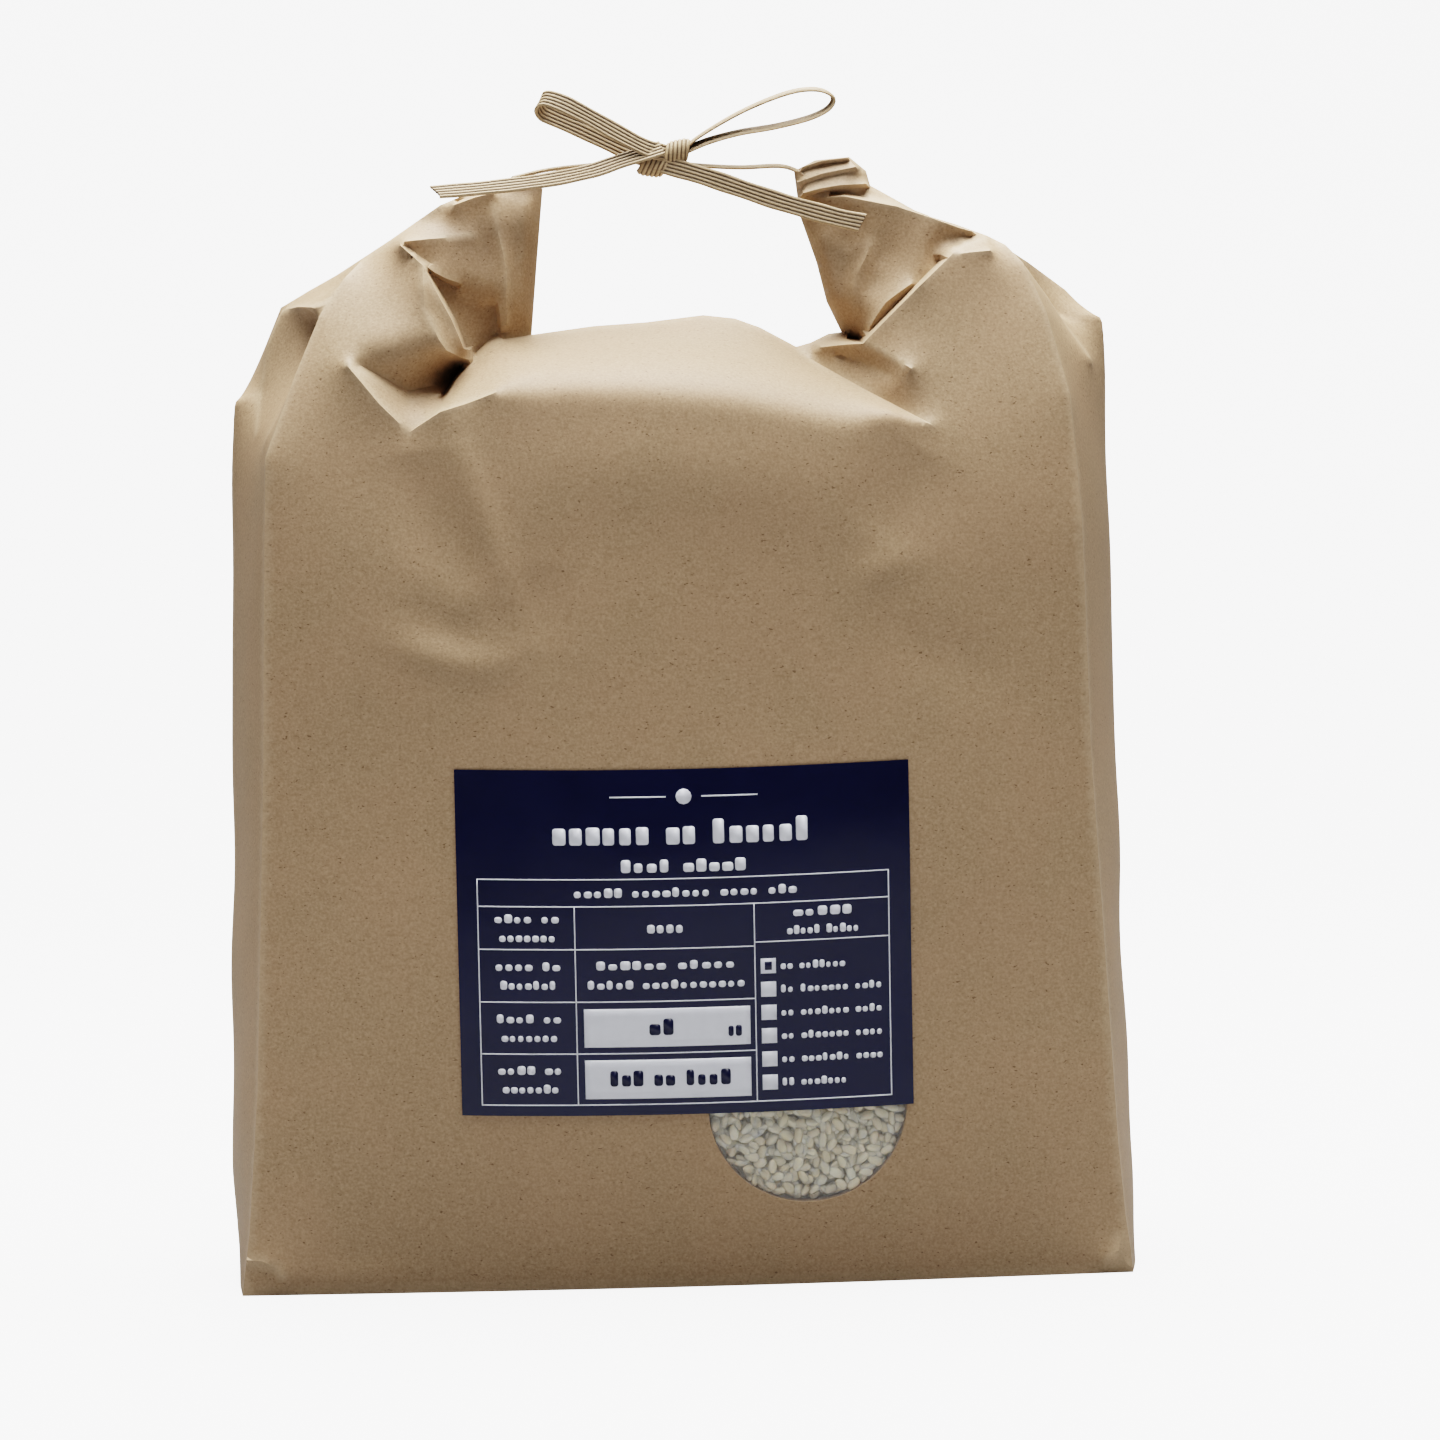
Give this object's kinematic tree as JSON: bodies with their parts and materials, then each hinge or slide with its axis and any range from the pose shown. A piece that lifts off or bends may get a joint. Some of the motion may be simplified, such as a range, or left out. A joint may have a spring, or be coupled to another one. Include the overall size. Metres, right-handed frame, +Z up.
{
  "type": "shut kraft paper bag of rice, rolled and tied at the top",
  "caption": "Standing side-gusseted paper bag full of rice, its top rolled back and tied up into ears with paper string, with a blank-ruled label and a round window.",
  "frame": {"origin": "middle of the base, on the surface that the bag stands on", "axes": "+Z up, +X to the right of someone who faces the label, +Y from the front to the back"},
  "size_m": [0.3174, 0.1102, 0.4104],
  "materials": {
    "kraft_paper": "matte unbleached kraft paper with fine fibres",
    "rice_grains": "polished short rice grains, slightly translucent",
    "clear_film": "thin clear plastic film",
    "label_print": "glossy navy film with pale printed rules",
    "paper_string": "flat ribbed band of twisted paper cords"
  },
  "bodies": {
    "root": {"bag": "kraft_paper", "rice": "rice_grains", "window_film": "clear_film", "label": "label_print", "string": "paper_string"}
  },
  "joints": []
}
